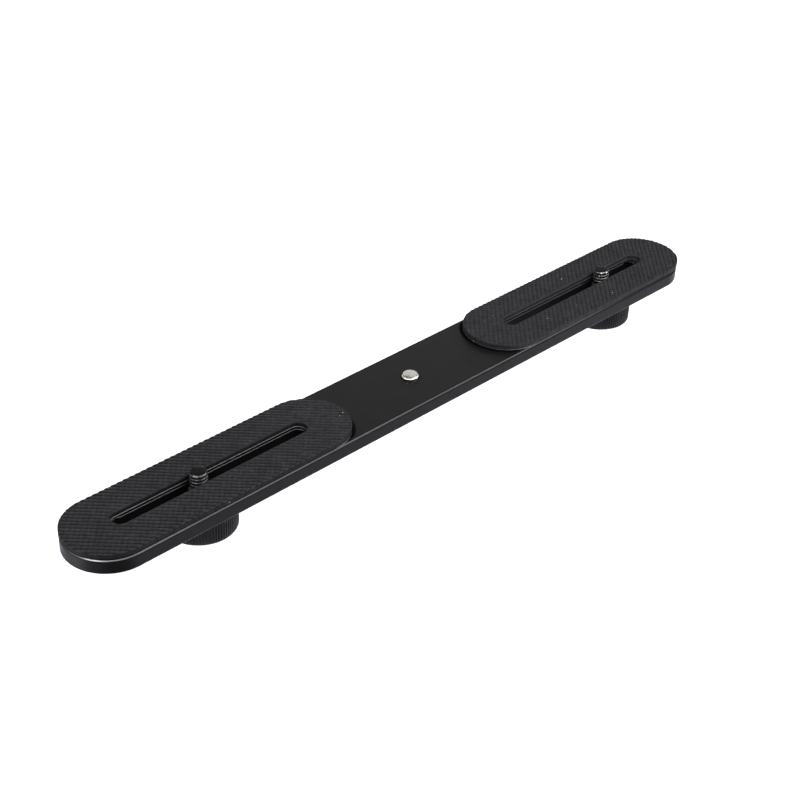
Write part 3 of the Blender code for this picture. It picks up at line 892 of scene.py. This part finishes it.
def make_cap(name):
    s = Shape()
    axis = AXIS_X[name]
    lo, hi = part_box(name + "_knob_cap")
    outer = (hi.x - lo.x) / 2
    face_z = lo.z + 0.02 * MM
    rings = [s.circle(radius, z, TURNED_STEPS, axis) for radius, z in (
        (outer - 0.2 * MM, hi.z), (outer, hi.z - 0.2 * MM), (outer, lo.z + 0.28 * MM),
        (outer - 0.08 * MM, lo.z + 0.08 * MM), (outer - 0.28 * MM, lo.z),
        (outer - 1.3 * MM, lo.z), (outer - 1.42 * MM, lo.z + 0.12 * MM),
        (outer - 1.6 * MM, lo.z + 0.2 * MM), (outer - 1.9 * MM, lo.z + 0.2 * MM),
        (outer - 2.08 * MM, lo.z + 0.12 * MM), (outer - 2.2 * MM, face_z),
        (3.0 * MM, face_z), (1.0 * MM, face_z))]
    s.stack(rings)
    s.fan(rings[0], (axis, 0, hi.z))
    s.fan(rings[-1], (axis, 0, face_z))
    s.build(name + "_cap_disc", MAT_CAP, name + "_camera_screw", name + "_knob_cap",
            angle=38)


def make_washer(name):
    s = Shape()
    lo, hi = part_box(name + "_washer")
    outer = (hi.x - lo.x) / 2
    rings = [s.circle(radius, z, TURNED_STEPS, AXIS_X[name], wear_and_highlight=0.3) for radius, z in (
        (2.3 * MM, hi.z - 0.06 * MM), (2.38 * MM, hi.z), (outer - 0.22 * MM, hi.z),
        (outer - 0.07 * MM, hi.z - 0.05 * MM), (outer, hi.z - 0.2 * MM),
        (outer, lo.z + 0.1 * MM), (outer - 0.05 * MM, lo.z), (2.34 * MM, lo.z),
        (2.3 * MM, lo.z + 0.04 * MM))]
    s.stack(rings, closed=True)
    s.build(name + "_washer_ring", MAT_WASHER, name + "_washer", name + "_washer",
            angle=38)


def key_radii(inset):
    """Radii, at the circle's angles, of the bush's stadium-shaped key."""
    radius, run = 2.65 * MM - inset, 1.0 * MM
    a = angles(TURNED_STEPS)
    cos, sin = np.abs(np.cos(a)), np.abs(np.sin(a))
    flat = radius / np.maximum(sin, 1e-9)
    end = run * cos + np.sqrt(np.maximum(radius**2 - (run * sin) ** 2, 0))
    return np.where(flat * cos <= run, flat, end)


def make_bush(name):
    s = Shape()
    lo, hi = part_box(name + "_slot_bush")
    outer = (hi.x - lo.x) / 2
    flange = lo.z + 0.9 * MM
    rings = [s.circle(radius, z, TURNED_STEPS, AXIS_X[name]) for radius, z in (
        (2.2 * MM, lo.z), (outer - 0.2 * MM, lo.z), (outer, lo.z + 0.2 * MM),
        (outer, flange - 0.2 * MM), (outer - 0.06 * MM, flange - 0.06 * MM),
        (outer - 0.2 * MM, flange), (4.6 * MM, flange), (key_radii(0.0), flange),
        (key_radii(0.0), hi.z - 0.2 * MM), (key_radii(0.06 * MM), hi.z - 0.06 * MM),
        (key_radii(0.2 * MM), hi.z), (2.25 * MM, hi.z), (2.12 * MM, hi.z - 0.12 * MM),
        (2.12 * MM, lo.z + 0.1 * MM))]
    s.stack(rings, closed=True)
    s.build(name + "_bush_body", MAT_BUSH, name + "_slot_bush", name + "_slot_bush",
            angle=38)


def dress_tape(name):
    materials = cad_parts[name + "_pad_adhesive"].data.materials
    materials.clear()
    materials.append(MAT_TAPE)


make_bar()
make_stud()
for side_name in SIDES:
    for make in (make_pad, make_screw, make_knob, make_cap, make_washer, make_bush, dress_tape):
        make(side_name)


# --- studio --------------------------------------------------------------------
FLOOR_Z = -0.165


def sheet(name, material, segments, size, location):
    """Flat square; size is half its side."""
    mesh = bpy.data.meshes.new(name)
    bm = bmesh.new()
    bmesh.ops.create_grid(bm, x_segments=segments, y_segments=segments, size=size)
    bm.to_mesh(mesh)
    bm.free()
    mesh.materials.append(material)
    obj = bpy.data.objects.new(name, mesh)
    obj.location = location
    bpy.context.scene.collection.objects.link(obj)
    return obj


def add_floor():
    """Pale floor, seen from above only."""
    material = bpy.data.materials.new("floor_pale")
    material.use_nodes = True
    tree = material.node_tree
    bsdf = tree.nodes["Principled BSDF"]
    geometry = add_node(tree, "NewGeometry")
    clear = add_node(tree, "BsdfTransparent")
    one_sided = add_node(tree, "MixShader", {
        0: geometry.outputs["Backfacing"], 1: bsdf.outputs[0], 2: clear.outputs[0]})
    # lifted a little where the camera sees it, so that it stays pale to the horizon
    seen = add_node(tree, "LightPath").outputs["Is Camera Ray"]
    glow = add_node(tree, "Math", {0: seen, 1: 0.42}, operation="MULTIPLY")
    plug(tree, bsdf, {
        "Base Color": (0.60, 0.595, 0.67, 1), "Roughness": 0.85, "Specular IOR Level": 0.1,
        "Emission Color": (1.0, 1.0, 0.88, 1), "Emission Strength": glow.outputs[0]})
    plug(tree, tree.nodes["Material Output"], {"Surface": one_sided.outputs[0]})
    sheet("floor", material, segments=8, size=6.0, location=(0, 0, FLOOR_Z))


def add_card():
    """Dark card on the floor, seen only in reflections, where it paints a dark reflection in the
    left end's side.
    """
    material = bpy.data.materials.new("card_black")
    material.use_nodes = True
    plug(material.node_tree, material.node_tree.nodes["Principled BSDF"],
         {"Base Color": (0.01, 0.01, 0.01, 1), "Roughness": 0.9})
    card = sheet("card", material, segments=1, size=0.5, location=(-0.21, -0.27, FLOOR_Z + 0.01))
    card.scale = (0.26, 0.36, 1)
    card.visible_camera = card.visible_diffuse = card.visible_shadow = False


def add_world():
    """White studio round the object, dimmer in its reflections."""
    world = bpy.data.worlds.new("studio")
    bpy.context.scene.world = world
    world.use_nodes = True
    tree = world.node_tree
    seen = add_node(tree, "LightPath").outputs["Is Camera Ray"]
    coord = add_node(tree, "TexCoord").outputs["Generated"]
    z = add_node(tree, "SeparateXYZ", {0: coord}).outputs["Z"]
    height = add_node(tree, "MapRange", {"Value": z, "From Min": -1.0, "From Max": 1.0})
    # height from nadir 0 to zenith 1, brightness
    stops = ((0.0, 0.80), (0.5, 0.85), (0.79, 0.80), (0.90, 0.35), (1.0, 0.20))
    level = add_ramp(tree, height.outputs["Result"], stops)
    # sockets 2 and 3 are the Mix node's float values
    mix = add_node(tree, "Mix", {"Factor": seen, 2: level, 3: 1.0}, data_type="FLOAT")
    plug(tree, tree.nodes["Background"], {"Strength": mix.outputs[0], "Color": (1, 1, 1, 1)})


def pose(x, y, z, place):
    """Matrix with these axes and this place."""
    return Matrix((*zip(x, y, z, place), (0, 0, 0, 1)))


def softbox(name, place, aim, size, power, along, diffuse=True):
    """Rectangular light facing aim, with its first side along the given direction."""
    light = bpy.data.lights.new(name, "AREA")
    light.shape = "RECTANGLE"
    light.size, light.size_y = size
    light.energy = power
    obj = bpy.data.objects.new(name, light)
    bpy.context.scene.collection.objects.link(obj)
    x = Vector(along).normalized()
    z = Vector(place) - Vector(aim)
    z = (z - x * z.dot(x)).normalized()
    obj.matrix_world = pose(x, z.cross(x), z, place)
    obj.visible_diffuse = diffuse


def add_lights():
    # the long front box draws the bright line along the near edges
    softbox("front_box", place=(0.22, -0.56, 0.80), aim=(0, 0, 0), size=(1.9, 0.32),
            power=27.0, along=(1.65, -0.07, -0.44))
    # a small box for the bright line round the left end
    softbox("end_box", place=(-0.77, -0.15, 0.65), aim=(-0.145, -0.01, 0.01),
            size=(0.42, 0.12), power=12.0, along=(0.25, -0.54, 0.11), diffuse=False)
    softbox("low_box", place=(-0.40, 0.12, -0.13), aim=(-0.15, 0.0, 0.01),
            size=(0.22, 0.16), power=0.9, along=(0.2, 0.98, 0.0), diffuse=False)
    softbox("left_box", place=(-0.68, 0.50, 0.77), aim=(0, 0, 0), size=(0.5, 0.35),
            power=4.5, along=(0.6, 0.8, 0.0))


def add_camera():
    """Camera above the left end of the front, looking down to the right and back."""
    camera = bpy.data.cameras.new("camera")
    obj = bpy.data.objects.new("camera", camera)
    bpy.context.scene.collection.objects.link(obj)
    camera.sensor_width = 36.0
    camera.lens = 73.83996
    camera.shift_x, camera.shift_y = -0.000625, 0.000625
    camera.clip_start, camera.clip_end = 0.01, 50
    right = (0.7046693, -0.70833172, 0.0413201)
    up = (0.36426605, 0.41112879, 0.83563351)
    back = (-0.60889361, -0.57379377, 0.54773103)
    obj.matrix_world = pose(right, up, back, (-0.368496, -0.343030, 0.319144 + BAR_TOP))
    bpy.context.scene.camera = obj


view = bpy.context.scene.view_settings
view.view_transform = "Standard"
view.look = "None"
view.exposure = 0.0
view.gamma = 1.0
add_floor()
add_card()
add_world()
add_lights()
add_camera()
